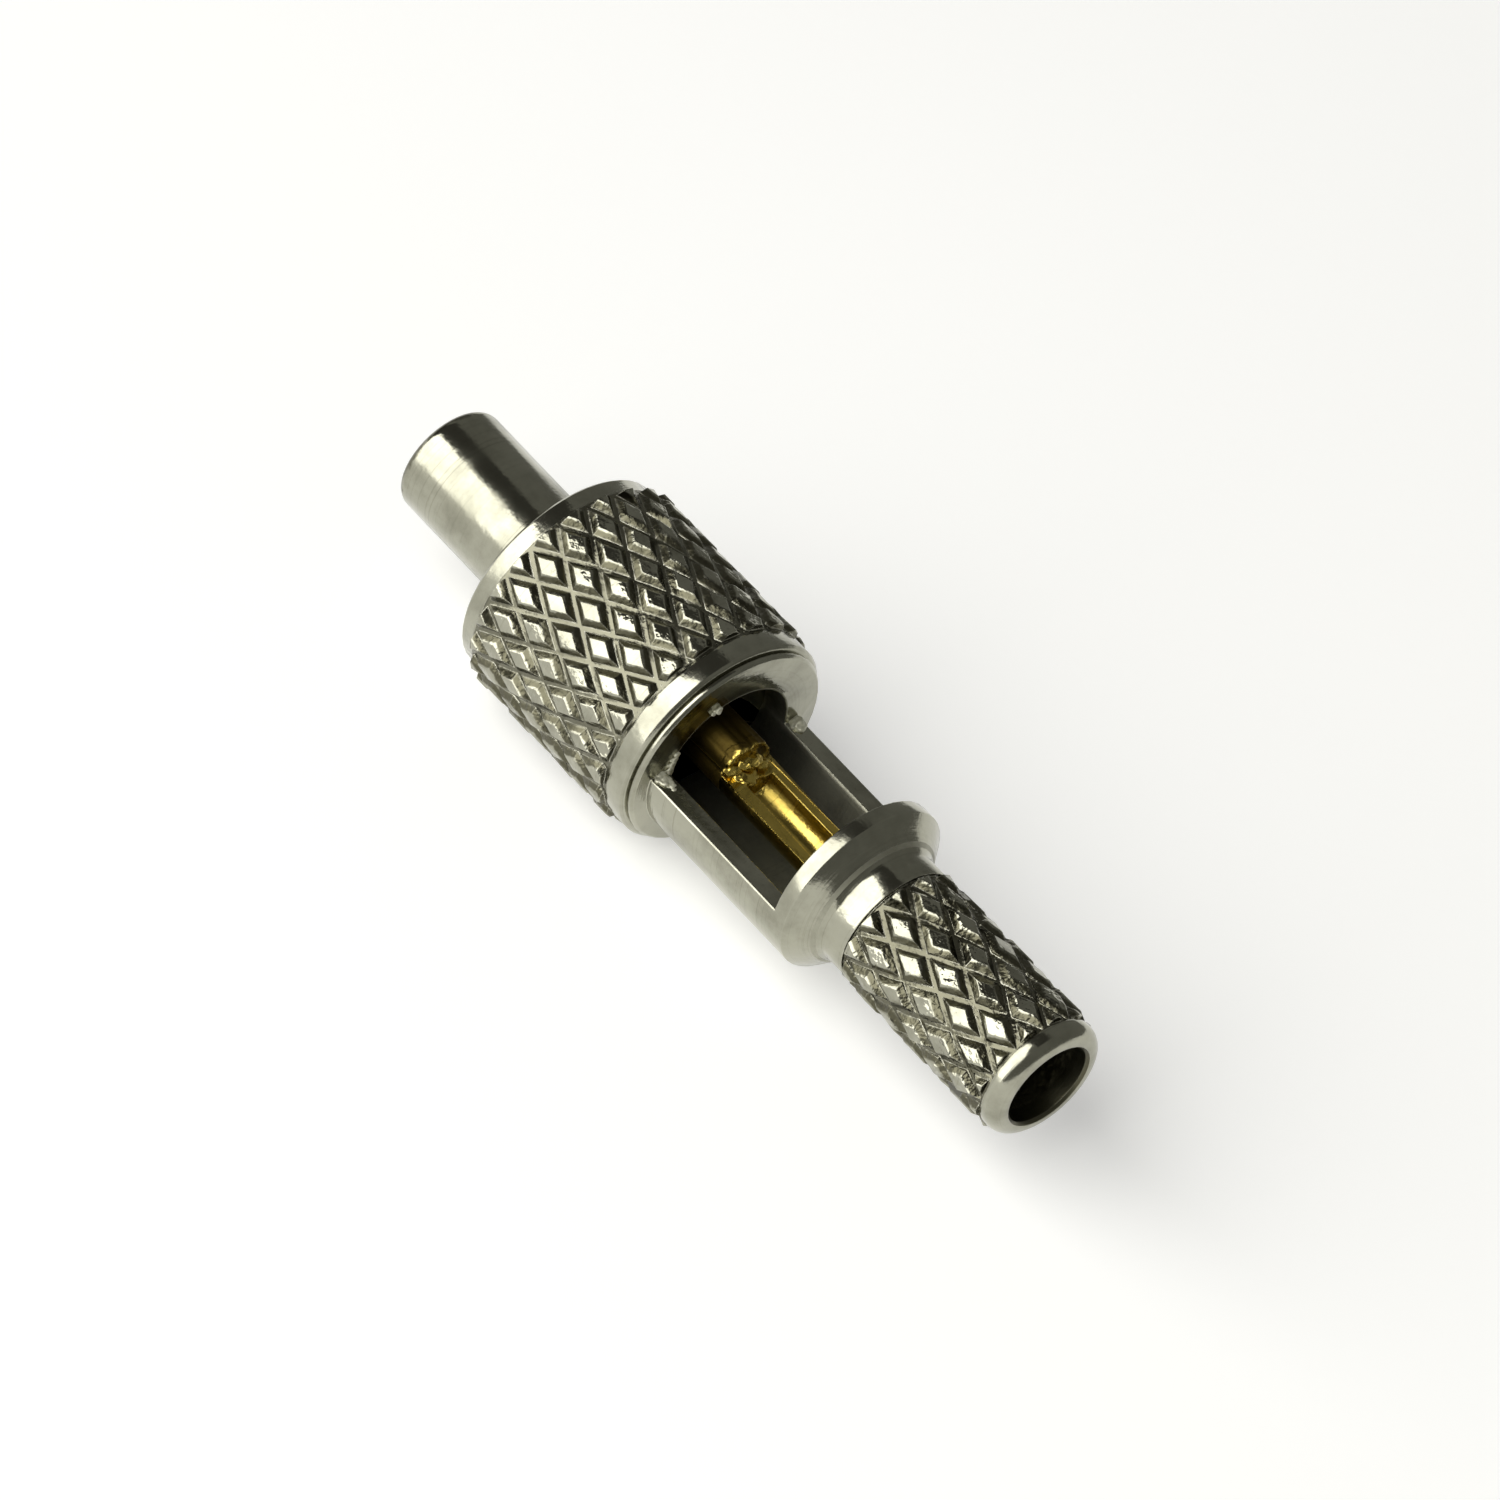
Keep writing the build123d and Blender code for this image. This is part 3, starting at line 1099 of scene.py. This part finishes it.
def light_room():
    """A plain grey room above the floor."""
    _, _, studio = scene_values()
    world = bpy.data.worlds.new("Room")
    bpy.context.scene.world = world
    world.use_nodes = True
    background = world.node_tree.nodes["Background"]
    background.inputs["Color"].default_value = opaque(studio.room)
    background.inputs["Strength"].default_value = 1.0


def toward(turn, lean):
    """A direction that is turned from +Z towards +Y round the axis, and leans towards the mating end."""
    return Vector((-math.sin(lean), math.sin(turn) * math.cos(lean), math.cos(turn) * math.cos(lean)))


def hang_softbox():
    """One large softbox on the side that the smooth bands mirror brightest."""
    _, _, studio = scene_values()
    middle = Vector((studio.aim, 0, 0))
    past_camera = math.radians(16)
    distance = 300 * MM
    back = toward(-studio.window_turn - past_camera, studio.end_turn)
    data = bpy.data.lights.new("Softbox", "AREA")
    data.shape = "SQUARE"
    data.size = studio.softbox_size
    data.energy = studio.softbox_radiance * math.pi * studio.softbox_size**2
    data.color = (1.0, 0.992, 0.96)
    softbox = bpy.data.objects.new("softbox", data)
    bpy.context.scene.collection.objects.link(softbox)
    softbox.location = middle + back * distance
    softbox.rotation_mode = "QUATERNION"
    softbox.rotation_quaternion = back.to_track_quat("Z", "Y")


def hang_dark_card():
    """A black card overhead, which the smooth bands mirror as a dark line; it glows faintly warm, a painted
    glow in that line.
    """
    _, _, studio = scene_values()
    deselect_all()
    across, along = 103 * MM, 420 * MM
    distance = 180 * MM
    back = toward(math.radians(-2), studio.end_turn)
    bpy.ops.mesh.primitive_plane_add(size=1.0)
    card = bpy.context.object
    card.name = "dark_card"
    card.scale = (across, along, 1)
    card.location = Vector((studio.aim, 0, 0)) + back * distance
    card.rotation_mode = "QUATERNION"
    card.rotation_quaternion = back.to_track_quat("Z", "Y")
    material = bpy.data.materials.new("Black card")
    material.use_nodes = True
    shader = material.node_tree.nodes["Principled BSDF"]
    shader.inputs["Base Color"].default_value = (0.012, 0.012, 0.011, 1)
    shader.inputs["Roughness"].default_value = 0.95
    shader.inputs["Specular IOR Level"].default_value = 0.0
    # Painted light: the card glows faintly warm though it is no lamp.
    shader.inputs["Emission Color"].default_value = (1.0, 0.98, 0.88, 1)
    shader.inputs["Emission Strength"].default_value = 0.045
    card.data.materials.append(material)
    card.visible_camera = False


def place_camera():
    """The camera at the photograph's viewing angle."""
    _, _, studio = scene_values()
    turn, end, drop = studio.window_turn, studio.end_turn, studio.axis_drop
    back = Vector((math.sin(end), -math.cos(end) * math.sin(turn), math.cos(end) * math.cos(turn)))
    axis = (Vector((1, 0, 0)) - back * math.sin(end)) / math.cos(end)
    side = Vector((0, -math.cos(turn), -math.sin(turn)))
    right = axis * math.cos(drop) - side * math.sin(drop)
    up = -axis * math.sin(drop) - side * math.cos(drop)
    data = bpy.data.cameras.new("Camera")
    data.sensor_width = 36.0
    data.lens = studio.lens
    data.shift_x = 0.0041
    data.shift_y = 0.0115
    data.clip_start = 10 * MM
    data.clip_end = 10.0
    camera = bpy.data.objects.new("camera", data)
    bpy.context.scene.collection.objects.link(camera)
    place = Matrix((right, up, back)).transposed().to_4x4()
    place.translation = Vector((studio.aim, 0, 0)) + back * studio.camera_distance
    camera.matrix_world = place
    bpy.context.scene.camera = camera
    bpy.context.scene.view_settings.view_transform = "Standard"


PIECE_OPERATORS = (
    CONNECTOR_OT_finishes,
    CONNECTOR_OT_mating_tube,
    CONNECTOR_OT_grip_sleeve,
    CONNECTOR_OT_crimp_body,
    CONNECTOR_OT_window_burrs,
    CONNECTOR_OT_centre_contact,
    CONNECTOR_OT_insulators,
    CONNECTOR_OT_studio,
)


class CONNECTOR_PT_sidebar(bpy.types.Panel):
    """Lists the connector's values and the operators that build it"""

    bl_label = "Antenna connector"
    bl_idname = "CONNECTOR_PT_sidebar"
    bl_space_type = "VIEW_3D"
    bl_region_type = "UI"
    bl_category = "Connector"

    def draw(self, context):
        scene = context.scene
        for values in (
            scene.connector_sizes,
            scene.connector_finishes,
            scene.connector_knurls,
            scene.connector_studio,
        ):
            column = self.layout.column(align=True)
            for name in values.bl_rna.properties.keys():
                if name not in {"rna_type", "name"}:
                    column.prop(values, name)
        for operator in PIECE_OPERATORS:
            self.layout.operator(operator.bl_idname)


CLASSES = (ConnectorSizes, ConnectorFinishes, KnurlSizes, StudioSizes, *PIECE_OPERATORS, CONNECTOR_PT_sidebar)


def register():
    """Make the classes known to Blender and put the values on the scene."""
    for known in CLASSES:
        bpy.utils.register_class(known)
    bpy.types.Scene.connector_sizes = PointerProperty(type=ConnectorSizes)
    bpy.types.Scene.connector_finishes = PointerProperty(type=ConnectorFinishes)
    bpy.types.Scene.connector_knurls = PointerProperty(type=KnurlSizes)
    bpy.types.Scene.connector_studio = PointerProperty(type=StudioSizes)


def unregister():
    """Take the values and the classes away again."""
    del bpy.types.Scene.connector_studio
    del bpy.types.Scene.connector_knurls
    del bpy.types.Scene.connector_finishes
    del bpy.types.Scene.connector_sizes
    for known in reversed(CLASSES):
        bpy.utils.unregister_class(known)


def main():
    """Build every piece in order."""
    register()
    bpy.ops.connector.finishes()
    bpy.ops.connector.mating_tube()
    bpy.ops.connector.grip_sleeve()
    bpy.ops.connector.crimp_body()
    bpy.ops.connector.window_burrs()
    bpy.ops.connector.centre_contact()
    bpy.ops.connector.insulators()
    bpy.ops.connector.studio()


if __name__ == "__main__":
    main()
